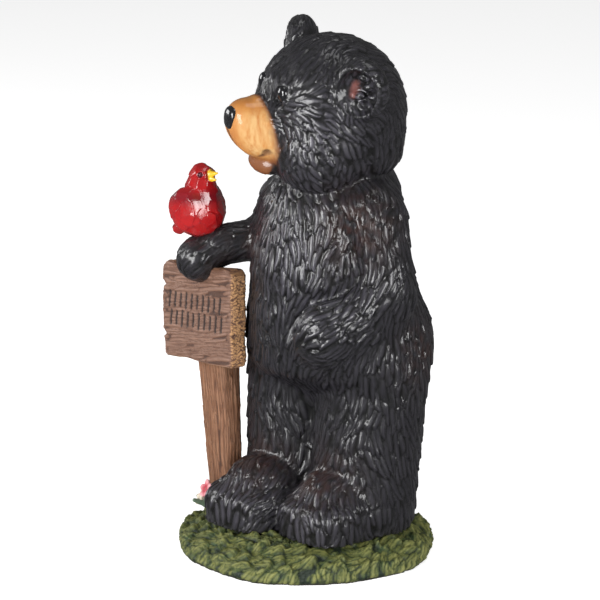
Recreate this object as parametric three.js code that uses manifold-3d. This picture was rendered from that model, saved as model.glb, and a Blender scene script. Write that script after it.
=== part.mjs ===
// A painted resin garden statue. A standing black bear cub rests one paw on a rustic signboard,
// a red songbird perches on that paw, and all of it stands on a round mound of carved grass.
// Units are millimetres, +Z is up. The bear faces -Y, so its own left side is +X.
// The origin is the centre of the mound's flat underside.
import * as THREE from "three";
import { mergeVertices } from "three/addons/utils/BufferGeometryUtils.js";
import Module from "manifold-3d";

const wasm = await Module();
wasm.setup();

// Driving dimensions
const MOUND_RADIUS = 80;
const MOUND_HEIGHT = 22;
const GAP = 0.3; // left between pieces that touch
const AXIS_X = 9; // the bear's plane of symmetry
const LEG_SPREAD = 25; // each leg's distance from the plane of symmetry
const PAW = [-61.5, -31, 178]; // the middle of the paw that lies on the signboard
const HEAD = { centre: [9, 15, 273], yaw: -19, roll: 10 };
const SIGN = {
  centre: [-62.5, -27.5, 143],
  width: 79,
  height: 61,
  thickness: 12,
  bevel: 1.2,
  yaw: -10,
  roll: -6,
  pitch: -4,
};
const POST = {
  foot: [-51, -20, MOUND_HEIGHT + GAP],
  top: [33, 19], // width and depth at the top
  bottom: [22, 14],
  setBack: 6, // how far its front is sunk behind the board's front
  aboveSignCentre: 22,
};
const BIRD = { perch: [-62.3, -29.8, 191], yaw: 95 };
const FUR = 2.4; // how far a lock of fur stands over the groove beside it

// The trunk's cross-sections, from between the legs up into the head.
const TRUNK = [
  { z: 88, halfWidth: 40, halfDepth: 22, y: 30 },
  { z: 97, halfWidth: 48, halfDepth: 36, y: 28 },
  { z: 104, halfWidth: 50, halfDepth: 39, y: 28 },
  { z: 111, halfWidth: 54.5, halfDepth: 46.5, y: 23 },
  { z: 119, halfWidth: 58.5, halfDepth: 54.5, y: 19.5 },
  { z: 130, halfWidth: 59.5, halfDepth: 56, y: 20 },
  { z: 143, halfWidth: 58, halfDepth: 56, y: 19 },
  { z: 153, halfWidth: 55, halfDepth: 54, y: 16.5 },
  { z: 165, halfWidth: 51, halfDepth: 51.5, y: 14.5 },
  { z: 179, halfWidth: 49, halfDepth: 50, y: 12 },
  { z: 194, halfWidth: 47, halfDepth: 47.5, y: 12 },
  { z: 209, halfWidth: 45, halfDepth: 44, y: 12 },
  { z: 223, halfWidth: 42, halfDepth: 41, y: 13.5 },
  { z: 235, halfWidth: 38, halfDepth: 38, y: 15.5 },
  { z: 248, halfWidth: 32, halfDepth: 32, y: 16 },
];

const degrees = THREE.MathUtils.degToRad;
const vector = (p) => new THREE.Vector3(...p);

// Solids: three.js geometry to manifold-3d and back

function toSolid(geometry) {
  const bare = geometry.index ? geometry.toNonIndexed() : geometry.clone();
  bare.deleteAttribute("normal");
  bare.deleteAttribute("uv");
  const merged = mergeVertices(bare, 1e-3);
  const index = merged.index.array;
  const kept = [];
  for (let i = 0; i < index.length; i += 3) {
    const [a, b, c] = [index[i], index[i + 1], index[i + 2]];
    if (a !== b && b !== c && c !== a) kept.push(a, b, c);
  }
  const vertProperties = merged.attributes.position.array;
  return new wasm.Manifold(new wasm.Mesh({ numProp: 3, vertProperties, triVerts: new Uint32Array(kept) }));
}

function toGeometry(solid) {
  const mesh = solid.getMesh();
  const geometry = new THREE.BufferGeometry();
  geometry.setAttribute("position", new THREE.BufferAttribute(mesh.vertProperties, 3));
  geometry.setIndex(new THREE.BufferAttribute(mesh.triVerts, 1));
  return geometry.toNonIndexed();
}

const join = (geometries) => geometries.map(toSolid).reduce((all, next) => all.add(next));

// The solid with every face moved out by the gap, made from shifted copies of itself.
function grown(solid) {
  const shifts = [[GAP, 0, 0], [-GAP, 0, 0], [0, GAP, 0], [0, -GAP, 0], [0, 0, GAP], [0, 0, -GAP]];
  return shifts.reduce((all, shift) => all.add(solid.translate(shift)), solid);
}

// Carved masses: a lathed profile whose meridians run the way the fur grows

// Half of a circle from one pole to the other, with the radius 1.
function roundProfile(rows) {
  const points = [];
  for (let j = 0; j <= rows; j++) {
    const angle = (Math.PI * j) / rows;
    points.push(new THREE.Vector2(j % rows ? Math.sin(angle) : 0, -Math.cos(angle)));
  }
  return points;
}

// A round end, a straight taper and another round end, along +Y from the first centre to the second.
function limbProfile(length, startRadius, endRadius, rows) {
  const slope = Math.asin((startRadius - endRadius) / length);
  const capRows = Math.max(2, Math.round(rows / 3));
  const points = [new THREE.Vector2(0, -startRadius)];
  for (let j = 1; j <= capRows; j++) {
    const angle = -Math.PI / 2 + ((slope + Math.PI / 2) * j) / capRows;
    points.push(new THREE.Vector2(Math.cos(angle) * startRadius, Math.sin(angle) * startRadius));
  }
  const straightRows = rows - 2 * capRows;
  const [first, last] = [points.at(-1), new THREE.Vector2(Math.cos(slope) * endRadius, 0)];
  last.y = length + Math.sin(slope) * endRadius;
  for (let j = 1; j <= straightRows; j++) points.push(first.clone().lerp(last, j / (straightRows + 1)));
  for (let j = 0; j < capRows; j++) {
    const angle = slope + ((Math.PI / 2 - slope) * j) / capRows;
    points.push(new THREE.Vector2(Math.cos(angle) * endRadius, length + Math.sin(angle) * endRadius));
  }
  points.push(new THREE.Vector2(0, length + endRadius));
  return points;
}

// Turns a profile into a closed form and carves locks in it: every second meridian is cut back.
// A lock is two rows long, and the next rank of locks is set half a lock over, like shingles.
// The carving fades out where the meridians close up at the two ends.
function carvedLathe(profile, locks, depth) {
  const segments = 2 * locks;
  const geometry = new THREE.LatheGeometry(profile, segments);
  const widest = Math.max(...profile.map((point) => point.x));
  const { position, normal } = geometry.attributes;
  for (let k = 0; k < position.count; k++) {
    const [i, j] = [Math.floor(k / profile.length) % segments, k % profile.length];
    if (j === 0 || j === profile.length - 1) continue;
    const rank = Math.floor(j / 2);
    const side = (i + rank) % 2 ? -1 : 1;
    const fade = Math.min(1, (1.3 * profile[j].x) / widest);
    const height = (depth / 2) * side * fade * (j % 2 ? 1 : 0.45);
    position.setXYZ(
      k,
      position.getX(k) + normal.getX(k) * height,
      position.getY(k) + normal.getY(k) * height,
      position.getZ(k) + normal.getZ(k) * height,
    );
  }
  return geometry;
}

const turnTo = (direction) =>
  new THREE.Quaternion().setFromUnitVectors(new THREE.Vector3(0, 1, 0), vector(direction).normalize());

// Pushes a unit sphere's points out towards a cube; 2 leaves it round.
function squareUp(geometry, power) {
  const { position } = geometry.attributes;
  for (let k = 0; k < position.count; k++) {
    const point = new THREE.Vector3().fromBufferAttribute(position, k);
    const round = point.length();
    const sum = [point.x, point.y, point.z].reduce((total, c) => total + Math.abs(c / round) ** power, 0);
    point.multiplyScalar(1 / sum ** (1 / power));
    position.setXYZ(k, point.x, point.y, point.z);
  }
}

// An ellipsoid with its axes along X, Y and Z, whose fur grows towards `grow`.
function mass({ centre, radii, grow = [0, 0, -1], locks = 14, rows = 12, depth = FUR, square = 2 }) {
  const meanRadius = (radii[0] + radii[1] + radii[2]) / 3;
  const geometry = carvedLathe(roundProfile(rows), locks, depth / meanRadius);
  geometry.applyQuaternion(turnTo(grow));
  if (square !== 2) squareUp(geometry, square);
  geometry.scale(...radii);
  return geometry.translate(...centre);
}

// A tapered limb with round ends, whose fur grows from the first end to the second.
function limb({ from, to, radii, locks = 10, rows = 9, depth = FUR }) {
  const along = vector(to).sub(vector(from));
  const geometry = carvedLathe(limbProfile(along.length(), ...radii, rows), locks, depth);
  geometry.applyQuaternion(turnTo(along.toArray()));
  return geometry.translate(...from);
}

// The bear

const mirrored = (list) => [list, [-list[0], list[1], list[2]]];

function headForms() {
  const smooth = { grow: [0, 1, 0], depth: 0 };
  const snout = { from: [0, -38, -1.5], to: [0, -59.5, 0.5], radii: [17.5, 12.5] };
  const forms = [
    mass({ centre: [0, -3.5, 1.5], radii: [46, 46.5, 46.5], grow: [0, 1, -0.25], locks: 15, rows: 12 }),
    mass({ centre: [0, -2, -15], radii: [44, 42, 31], grow: [0, 1, -0.5], locks: 12, rows: 8, square: 2.5 }),
    limb({ ...snout, locks: 8, rows: 8, depth: 0 }),
    mass({ centre: [0, -44, -8.5], radii: [19.5, 21.5, 17], ...smooth, locks: 8, rows: 8 }),
    mass({ centre: [0, -41, -28.5], radii: [15, 13, 8], ...smooth, locks: 6, rows: 8 }),
    mass({ centre: [0, -67.5, 1.5], radii: [6.6, 5.2, 7.4], ...smooth, locks: 5, rows: 6, square: 2.8 }),
  ];
  for (const cheek of mirrored([22, -20, -18])) {
    const grow = [cheek[0] / 40, 1, -0.4];
    forms.push(mass({ centre: cheek, radii: [25, 26, 25], grow, locks: 8, rows: 8 }));
  }
  for (const eye of mirrored([13.8, -43, 18.5])) {
    forms.push(mass({ centre: eye, radii: [4.8, 3, 5.8], ...smooth, locks: 4, rows: 6 }));
  }
  return forms;
}

// A round ear, cupped in front and turned outwards.
function ear(side) {
  const shell = mass({ centre: [0, 0, 0], radii: [17, 12, 19], grow: [0, 0.4, 1], locks: 8, rows: 8 });
  const cup = mass({ centre: [0, -11.5, -0.5], radii: [13.6, 12.3, 15.4], locks: 5, rows: 8, depth: 0 });
  return toSolid(shell).subtract(toSolid(cup)).rotate([0, 0, side * 40]).translate([side * 42, -6, 28.5]);
}

function head() {
  const placed = new THREE.Object3D();
  placed.rotation.set(0, degrees(HEAD.roll), degrees(HEAD.yaw), "ZYX");
  placed.position.set(...HEAD.centre);
  placed.updateMatrix();
  const solid = join(headForms()).add(ear(1)).add(ear(-1));
  return toSolid(toGeometry(solid).applyMatrix4(placed.matrix));
}

// The trunk is a carved lathe whose rows are stretched to the cross-sections in TRUNK.
function trunk() {
  const ends = [TRUNK[0].z - 6, TRUNK.at(-1).z + 6];
  const rings = [{ ...TRUNK[0], z: ends[0] }, ...TRUNK, { ...TRUNK.at(-1), z: ends[1] }];
  const profile = rings.map((ring, j) => new THREE.Vector2(j % (rings.length - 1) ? 1 : 0, ring.z));
  const middle = TRUNK[Math.floor(TRUNK.length / 2)];
  const geometry = carvedLathe(profile, 15, FUR / middle.halfWidth);
  const { position } = geometry.attributes;
  for (let k = 0; k < position.count; k++) {
    const ring = rings[k % rings.length];
    position.setX(k, position.getX(k) * ring.halfWidth + AXIS_X);
    position.setZ(k, position.getZ(k) * ring.halfDepth - ring.y);
  }
  return geometry.rotateX(Math.PI / 2);
}

const tail = () =>
  limb({ from: [AXIS_X, 66, 118], to: [AXIS_X, 76, 107], radii: [11, 7], locks: 5, rows: 6 });

// One leg on its broad foot. `stride` is how far the foot is set forward.
function leg(side, stride) {
  const x = AXIS_X + side * LEG_SPREAD;
  const hip = [x + side * 2, 20 + stride / 2, 108];
  const ankle = [x + side, 13 + stride / 4, 30];
  const sole = [x + side, stride - 5, 28];
  return [
    limb({ from: hip, to: ankle, radii: [34, 32.5], locks: 10, rows: 10 }),
    mass({ centre: [x, stride - 3, 30], radii: [27, 34.5, 31.5], locks: 10, rows: 8, square: 2.2 }),
    mass({ centre: sole, radii: [28, 38.5, 18], locks: 10, rows: 8, square: 3.6 }),
  ];
}

const legs = () => join([...leg(1, 0), ...leg(-1, -12)]);

function arms() {
  const [leftElbow, leftWrist] = [[50.5, 11.5, 169], [41, -20, 150]];
  const [rightElbow, rightWrist] = [[-36, 3, 190], [-55, -23, 186]];
  return join([
    limb({ from: [41, 11, 209], to: leftElbow, radii: [24.5, 20.5], locks: 9, rows: 9 }),
    limb({ from: leftElbow, to: leftWrist, radii: [21, 19], locks: 9, rows: 8 }),
    mass({ centre: [37.5, -25, 147], radii: [18, 18, 20], grow: [-0.6, -0.6, -0.6], locks: 7, rows: 8 }),
    limb({ from: [-21.5, 8.5, 210], to: rightElbow, radii: [22, 15], locks: 8, rows: 8 }),
    limb({ from: rightElbow, to: rightWrist, radii: [13.5, 12.5], locks: 6, rows: 7, depth: 1.4 }),
    mass({ centre: PAW, radii: [14, 15.5, 14.5], grow: [-0.2, -0.7, -0.8], locks: 7, rows: 8, depth: 1.4 }),
  ]);
}

// The grass mound

// Tufts of grass: the side's rows are pushed in and out, and the rim rises and falls with them.
function moundForm() {
  const R = MOUND_RADIUS;
  const side = [[R - 2, 0], [R, 4], [R, 8], [R - 1.5, 10.5], [R - 6, 13], [R - 13, 16], [R - 22, 19.5]];
  const outline = [[0, 0], ...side, [0, MOUND_HEIGHT]];
  const blades = 32;
  const profile = outline.map(([x, y]) => new THREE.Vector2(x, y));
  const geometry = new THREE.LatheGeometry(profile, 2 * blades);
  const { position } = geometry.attributes;
  for (let k = 0; k < position.count; k++) {
    const [i, j] = [Math.floor(k / profile.length) % (2 * blades), k % profile.length];
    const angle = (Math.PI * i) / blades;
    const radius = Math.hypot(position.getX(k), position.getZ(k));
    if (j < 1 || j > 6) continue;
    const swell = 1.3 * Math.sin(5 * angle + 1) + 0.9 * Math.sin(9 * angle + j);
    const blade = (i + Math.floor(j / 2)) % 2 ? 1.5 : -1.5;
    const shift = j === 1 ? 0.6 * swell : swell + blade;
    const scale = (radius + shift) / radius;
    const lift = j < 4 ? 0 : 0.6 * blade + 0.4 * swell;
    position.setXYZ(k, position.getX(k) * scale, position.getY(k) + lift, position.getZ(k) * scale);
  }
  return geometry.rotateX(Math.PI / 2);
}

// The signboard and its post

// From the board's own frame (X along it, Y through it, Z up) to the statue's frame.
function signFrame() {
  const placed = new THREE.Object3D();
  placed.rotation.set(degrees(SIGN.pitch), degrees(SIGN.roll), degrees(SIGN.yaw), "ZYX");
  placed.position.set(...SIGN.centre);
  placed.updateMatrix();
  return placed.matrix;
}

// The board's ragged outline, seen from the front.
function boardOutline() {
  const [w, h] = [SIGN.width / 2, SIGN.height / 2];
  const notch = 4;
  return [
    [-w + 3, -h], [-w + 1.5, -h / 2 - 3], [-w + notch, -h / 2 - 1], [-w + 0.5, -h / 2 + 2], [-w, 0],
    [-w + 0.5, h / 2 - 2], [-w + notch, h / 2], [-w, h / 2 + 3], [-w + 0.5, h - 4], [-w + 5, h],
    [-w + 13, h - 0.5], [-w + 17, h - 3], [0, h - 2.5], [w / 2, h - 1], [w - 4, h - 0.5], [w, h - 4],
    [w - 1, h / 3], [w, 0], [w - 1.5, -h / 3], [w, -h + 6], [w - 2, -h], [w / 3, -h - 0.5], [-w / 3, -h + 1],
  ];
}

function boardForm(extra = 0) {
  const shape = new THREE.Shape(boardOutline().map(([x, y]) => new THREE.Vector2(x, y)));
  const depth = SIGN.thickness - 2 * SIGN.bevel + 2 * extra;
  const geometry = new THREE.ExtrudeGeometry(shape, {
    depth,
    bevelThickness: SIGN.bevel,
    bevelSize: SIGN.bevel,
    bevelOffset: extra - SIGN.bevel,
    bevelSegments: 1,
  });
  return geometry.translate(0, 0, -depth / 2).rotateX(Math.PI / 2);
}

// Two rows of shallow strokes where the real board has its inscription. They aren't letters.
function inscription() {
  const strokes = [];
  const count = 10;
  const pitch = (SIGN.width - 16) / count;
  for (let n = 0; n < count; n++) {
    const x = (n - (count - 1) / 2) * pitch - 2;
    for (const [row, z] of [[0, 6.5], [1, -5]]) {
      const stroke = new THREE.BoxGeometry(1.4, 1.6, 9 - ((n + row) % 3));
      stroke.rotateY(0.12);
      strokes.push(stroke.translate(x + 1.5 * row, -SIGN.thickness / 2, z));
    }
  }
  return strokes;
}

// A flat stake with grooves down it, wide under the board and narrow at the ground.
function postForm(extra = 0) {
  const height = SIGN.centre[2] + POST.aboveSignCentre - POST.foot[2];
  const grooves = 14;
  const rows = 6;
  const profile = [new THREE.Vector2(0, 0)];
  for (let j = 0; j <= rows; j++) profile.push(new THREE.Vector2(1, j / rows));
  profile.push(new THREE.Vector2(0, 1));
  const geometry = new THREE.LatheGeometry(profile, 2 * grooves);
  const { position } = geometry.attributes;
  for (let k = 0; k < position.count; k++) {
    const i = Math.floor(k / profile.length) % (2 * grooves);
    const [x, y, up] = [position.getX(k), position.getZ(k), position.getY(k)];
    if (Math.hypot(x, y) < 0.5) continue;
    const square = 1 / Math.pow(x ** 4 + y ** 4, 0.25); // rounds the circle towards a square
    const groove = i % 2 ? -0.7 : 0.4;
    const wave = 0.5 * Math.sin(3 * i + 5 * up);
    const halfWidth = THREE.MathUtils.lerp(POST.bottom[0], POST.top[0], up) / 2 + groove + wave + extra;
    const halfDepth = THREE.MathUtils.lerp(POST.bottom[1], POST.top[1], up) / 2 + groove + extra;
    position.setX(k, x * square * halfWidth);
    position.setZ(k, y * square * halfDepth);
  }
  return geometry.scale(1, height, 1).rotateX(Math.PI / 2);
}

// Stands the stake on the mound and leans it to the back of the board.
function placePost(geometry) {
  const foot = vector(POST.foot);
  const behind = new THREE.Vector3(0, POST.setBack - SIGN.thickness / 2 + POST.top[1] / 2, 0);
  const head = behind.applyMatrix4(signFrame());
  const slant = head.sub(foot);
  const shear = new THREE.Matrix4().set(
    1, 0, slant.x / slant.z, foot.x,
    0, 1, slant.y / slant.z, foot.y,
    0, 0, 1, foot.z,
    0, 0, 0, 1,
  );
  return geometry.rotateZ(degrees(SIGN.yaw)).applyMatrix4(shear);
}

// The songbird, with its perch at the origin and its beak towards -Y

function birdForms() {
  const forms = [
    limb({ from: [0, 1, 16.5], to: [0, -1.5, 38.5], radii: [15.8, 7.6], locks: 7, rows: 9, depth: 0.9 }),
    limb({ from: [0, 9, 11], to: [0, 18, 3.5], radii: [6, 3.5], locks: 4, rows: 6, depth: 0.6 }),
  ];
  for (const wing of mirrored([11, 3, 19])) {
    const grow = [0, 1, -0.7];
    forms.push(mass({ centre: wing, radii: [5.5, 11.5, 12.5], grow, locks: 5, rows: 7, depth: 0.8 }));
  }
  const beak = new THREE.ConeGeometry(3.6, 8, 8).translate(0, 4, 0);
  forms.push(beak.applyQuaternion(turnTo([0, -1, 0.25])).translate(0, -7, 39));
  return forms;
}

// The flowers at the foot of the post

// Petals are flat ellipsoids around a middle, all tilted the way the flower looks.
function flowerForms({ centre, petals, length, width, look, root }) {
  const flat = { grow: [1, 0, 0], locks: 2, rows: 4, depth: 0 };
  const parts = [];
  for (let n = 0; n < petals; n++) {
    const petal = mass({ centre: [length * 0.5, 0, 0], radii: [length * 0.6, width, 1.7], ...flat });
    parts.push(petal.rotateY(-0.35).rotateZ((2 * Math.PI * n) / petals));
  }
  const up = new THREE.Vector3(0, 0, 1);
  const turn = new THREE.Quaternion().setFromUnitVectors(up, vector(look).normalize());
  const stem = limb({ from: root, to: centre, radii: [2.6, 2], locks: 2, rows: 5, depth: 0 });
  return [stem, ...parts.map((part) => part.applyQuaternion(turn).translate(...centre))];
}

function flowers() {
  const root = [-52, -37, MOUND_HEIGHT + GAP + 1.5];
  const upper = { centre: [-50.5, -36.5, 33], look: [-0.3, -1, 0.5], petals: 4, length: 6, width: 2.6 };
  const lower = { centre: [-55, -37.5, 26.5], look: [-0.6, -0.8, 0.5], petals: 3, length: 5, width: 2.4 };
  const forms = [...flowerForms({ root, ...upper }), ...flowerForms({ root, ...lower })];
  for (const [dx, dy] of [[-8, 1], [-3, -7]]) {
    const tip = [root[0] + dx, root[1] + dy, root[2] + 3];
    forms.push(limb({ from: root, to: tip, radii: [2.4, 1.2], locks: 2, rows: 6, depth: 0 }));
  }
  return forms;
}

// Fitting the pieces to each other

const mound = toSolid(moundForm());
const frame = signFrame();
const strokes = join(inscription().map((stroke) => stroke.applyMatrix4(frame)));
const board = toSolid(boardForm().applyMatrix4(frame)).subtract(strokes);
const boardGrown = toSolid(boardForm(GAP).applyMatrix4(frame));
const post = toSolid(placePost(postForm())).subtract(boardGrown);
const postGrown = toSolid(placePost(postForm(GAP)));

const aboveMound = new THREE.BoxGeometry(400, 400, 400).translate(0, 0, 200 + MOUND_HEIGHT + GAP);
const bear = join([trunk(), tail()])
  .add(legs())
  .add(arms())
  .add(head())
  .intersect(toSolid(aboveMound))
  .subtract(boardGrown)
  .subtract(postGrown)
  .subtract(grown(mound));
const bearGrown = grown(bear);

const birdTurn = new THREE.Matrix4().makeRotationZ(degrees(BIRD.yaw)).setPosition(...BIRD.perch);
const bird = join(birdForms().map((form) => form.applyMatrix4(birdTurn))).subtract(bearGrown);
const bouquet = join(flowers())
  .intersect(toSolid(aboveMound))
  .subtract(bearGrown)
  .subtract(postGrown)
  .subtract(grown(mound));

// The scene graph

const painted = (color, roughness) => new THREE.MeshStandardMaterial({ color, roughness, metalness: 0 });

const statue = new THREE.Group();
for (const [name, solid, material] of [
  ["bear", bear, painted(0x1b1a1d, 0.4)],
  ["grass_mound", mound, painted(0x5d6b33, 0.7)],
  ["signboard", board, painted(0x8a5c3e, 0.65)],
  ["sign_post", post, painted(0x7b4f33, 0.65)],
  ["red_bird", bird, painted(0xa3121c, 0.35)],
  ["flowers", bouquet, painted(0xc8525f, 0.55)],
]) {
  const mesh = new THREE.Mesh(toGeometry(solid), material);
  mesh.name = name;
  statue.add(mesh);
}

export default statue;
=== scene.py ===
"""Looks of the bear garden statue, a carved and painted resin casting.

Every piece is sculpted in the same way. A field gives the distance to the surface, a mesh is wrapped
round it, and each lock of fur, blade of grass or groove of grain then raises the points near it.
Lengths are millimetres until a mesh is made. +Z is up and the bear faces -Y.
"""

import math
from typing import NamedTuple

import bpy
import numpy as np
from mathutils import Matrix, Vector


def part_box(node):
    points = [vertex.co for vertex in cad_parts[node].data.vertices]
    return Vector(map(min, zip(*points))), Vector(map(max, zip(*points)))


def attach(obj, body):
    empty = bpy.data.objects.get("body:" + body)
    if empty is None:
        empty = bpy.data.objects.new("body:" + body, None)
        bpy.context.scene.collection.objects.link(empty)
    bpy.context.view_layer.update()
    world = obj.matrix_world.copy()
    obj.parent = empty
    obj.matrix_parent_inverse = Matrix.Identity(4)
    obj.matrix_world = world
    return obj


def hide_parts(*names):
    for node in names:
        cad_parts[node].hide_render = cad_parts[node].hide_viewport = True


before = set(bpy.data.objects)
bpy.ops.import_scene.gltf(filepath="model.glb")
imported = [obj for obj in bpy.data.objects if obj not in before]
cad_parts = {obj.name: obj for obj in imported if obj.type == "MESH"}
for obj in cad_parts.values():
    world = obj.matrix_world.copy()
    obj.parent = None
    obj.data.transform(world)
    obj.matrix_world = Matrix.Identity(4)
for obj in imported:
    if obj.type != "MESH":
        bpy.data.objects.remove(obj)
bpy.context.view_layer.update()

MM = 0.001
SEED = 11

# Where the camera stands: it looks at `CAMERA_TARGET` from this side, height and distance
CAMERA_TARGET = (-3.0, -3.0, 157.0)
CAMERA_SIDE = 45.0
CAMERA_HEIGHT = 14.0
CAMERA_DISTANCE = 1900.0
CAMERA_LENS = 187.0

# The same driving dimensions as the solids have
MOUND_RADIUS = 80.0
MOUND_HEIGHT = 22.0
AXIS_X = 9.0
LEG_SPREAD = 25.0
PAW = (-61.5, -31.0, 178.0)
HEAD_CENTRE = (9.0, 15.0, 273.0)
SIGN_CENTRE = (-62.5, -27.5, 143.0)
SIGN_SIZE = (79.0, 12.0, 61.0)
POST_FOOT = (-51.0, -20.0, 22.3)
POST_TOP = (33.0, 19.0)
POST_BOTTOM = (22.0, 14.0)
POST_SET_BACK = 6.0
POST_ABOVE_SIGN_CENTRE = 22.0
BIRD_PERCH = (-62.3, -29.8, 191.0)
BIRD_YAW = 95.0

# The trunk's cross-sections: height, half width, half depth and the place of the middle along Y
TRUNK = np.array([
    (88, 40, 22, 30), (97, 48, 36, 28), (104, 50, 39, 28), (111, 54.5, 46.5, 23), (119, 58.5, 54.5, 19.5),
    (130, 59.5, 56, 20), (143, 58, 56, 19), (153, 55, 54, 16.5), (165, 51, 51.5, 14.5), (179, 49, 50, 12),
    (194, 47, 47.5, 12), (209, 45, 44, 12), (223, 42, 41, 13.5), (235, 38, 38, 15.5), (248, 32, 32, 16),
])

# How fine each piece is: the voxel it is wrapped with in full and in quick quality, and the triangles kept
DETAIL = {
    "carved_bear": (1.3, 2.4, 198_000),
    "bear_eyes": (0.8, 0.8, None),
    "bear_nose": (0.7, 0.7, None),
    "carved_mound": (1.6, 2.4, 170_000),
    "carved_board": (1.0, 1.5, 120_000),
    "carved_post": (1.1, 1.6, 90_000),
    "carved_bird": (0.8, 1.2, 60_000),
    "carved_flowers": (0.6, 0.6, 40_000),
}

# The length, width and height of a lock on each part of the bear, of a blade of grass and of a line of grain
LOCKS = {
    "trunk": (17.0, 2.9, 1.9),
    "tail": (12.0, 3.2, 1.2),
    "leg": (17.0, 3.1, 1.9),
    "instep": (14.0, 2.9, 1.7),
    "sole": (16.0, 3.1, 1.9),
    "left arm": (15.0, 2.9, 1.8),
    "left forearm": (16.0, 2.9, 1.9),
    "right upper arm": (14.0, 2.8, 1.3),
    "right forearm": (12.0, 2.6, 1.1),
    "right hand": (12.0, 2.6, 1.0),
    "face": (13.0, 2.7, 1.4),
    "cheek": (11.0, 3.8, 1.9),
    "ear": (8.0, 2.2, 0.8),
    "muzzle": (9.0, 2.4, 0.9),
    "grass tuft": (14.0, 7.5, 4.2),
    "grass blade": (13.0, 1.9, 1.4),
    "board grain": (34.0, 1.7, 0.6),
    "board end": (5.0, 1.8, 1.0),
    "post grain": (40.0, 2.2, 1.2),
    "bird facet": (7.5, 6.5, 0.4),
}

# The lights: place and width in metres, and power in watts
LIGHTS = {
    "key": ((0.1, -1.85, 0.95), 0.7, 26),
    "low": ((0.35, -1.9, 0.3), 0.6, 13),
    "side": ((-1.6, -0.7, 0.7), 0.7, 10),
    "fill": ((1.85, -0.1, 0.7), 0.7, 20),
    "top": ((0.2, 0.2, 2.2), 0.8, 6),
}
WORLD_LIGHT = 0.14
FLOOR_GLOW = 0.66


# Fields: each gives the distance from points to a surface, below zero inside


def turn_matrix(yaw, roll=0.0, pitch=0.0):
    """The rotation about X by pitch, then Y by roll, then Z by yaw, in degrees."""
    angles = [math.radians(angle) for angle in (yaw, roll, pitch)]
    (cz, sz), (cy, sy), (cx, sx) = ((math.cos(angle), math.sin(angle)) for angle in angles)
    about_z = np.array([[cz, -sz, 0], [sz, cz, 0], [0, 0, 1]])
    about_y = np.array([[cy, 0, sy], [0, 1, 0], [-sy, 0, cy]])
    about_x = np.array([[1, 0, 0], [0, cx, -sx], [0, sx, cx]])
    return about_z @ about_y @ about_x


def lengths(vectors):
    return np.sqrt((vectors * vectors).sum(1))


def unit(vectors):
    return vectors / np.maximum(lengths(vectors), 1e-9)[:, None]


def smooth_step(low, high, values):
    t = np.clip((values - low) / (high - low), 0, 1)
    return t * t * (3 - 2 * t)


def melt(a, b, width):
    """Joins two fields with a fillet about as wide as `width`."""
    overlap = np.maximum(width - np.abs(a - b), 0) / width
    return np.minimum(a, b) - overlap * overlap * width / 4


def carve(a, b, width):
    """Takes the second field out of the first."""
    return -melt(-a, b, width)


def crease(a, b, depth, width, fillet):
    """Joins two fields and sinks a groove along the line where their surfaces meet."""
    return melt(a, b, fillet) + depth * np.exp(-(((a - b) / width) ** 2))


def ball(points, centre, radii, power=2.0, turn=None):
    """An ellipsoid, boxier as the power grows past 2."""
    local = points - centre
    if turn is not None:
        local = local @ turn
    scaled = np.abs(local) / radii + 1e-9
    level = (scaled**power).sum(1) ** (1 / power)
    slope = lengths((scaled / level[:, None]) ** (power - 1) / radii)
    return (level - 1) / slope


def rod(points, start, end, radii=(0.0, 0.0)):
    """A tapered limb with round ends, or a line where no radii are given."""
    start, end = np.asarray(start, float), np.asarray(end, float)
    axis = end - start
    t = np.clip((points - start) @ axis / (axis @ axis), 0, 1)
    return lengths(points - start - t[:, None] * axis) - (radii[0] + (radii[1] - radii[0]) * t)


class Form(NamedTuple):
    """One mass of the sculpture: its field, the way its fur grows, its kind of lock and its fillet."""

    distance: object
    flow: object
    lock: str = ""
    fillet: float = 6.0


def melted(fields, fillets):
    """One field of several, each melted with its own fillet into those before it."""

    def field(points):
        total = fields[0](points)
        for other, fillet in zip(fields[1:], fillets[1:]):
            total = melt(total, other(points), fillet)
        return total

    return field


def joined(forms):
    return melted([form.distance for form in forms], [form.fillet for form in forms])


def shares(forms, points, width):
    """How far each point belongs to each form, as weights that add up to one."""
    distances = np.stack([form.distance(points) for form in forms])
    weights = np.exp(-(distances - distances.min(0)) / width)
    return weights / weights.sum(0)


def blended_flow(forms, points):
    """The way the fur grows at each point, from the forms near it."""
    flow = np.zeros_like(points)
    for form, weight in zip(forms, shares(forms, points, 5.0)):
        flow += weight[:, None] * (form.flow(points) if callable(form.flow) else form.flow)
    return flow


def on_surface(flow, normals):
    return unit(flow - normals * (flow * normals).sum(1)[:, None])


def wavy(flow, points, normals, swing, size, rng):
    """A flow laid on the surface and swung to and fro by waves of this size."""
    flow = on_surface(flow, normals)
    swing = swing * ripple(points, size, rng)
    return flow * np.cos(swing)[:, None] + np.cross(normals, flow) * np.sin(swing)[:, None]


def ripple(points, size, rng):
    """Smooth noise between about -1 and 1, the sum of a few waves of this size."""
    total = np.zeros(len(points))
    for _ in range(6):
        wave = rng.normal(size=3) / size * 2.2
        total += np.sin(points @ wave + rng.uniform(0, 2 * math.pi))
    return total / 2.4


# Wrapping a mesh round a field


def in_parts(field, points, part=200_000):
    return np.concatenate([field(points[i : i + part]) for i in range(0, len(points), part)])


def grid_of(axes):
    return np.stack(np.meshgrid(*axes, indexing="ij"), -1)


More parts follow.
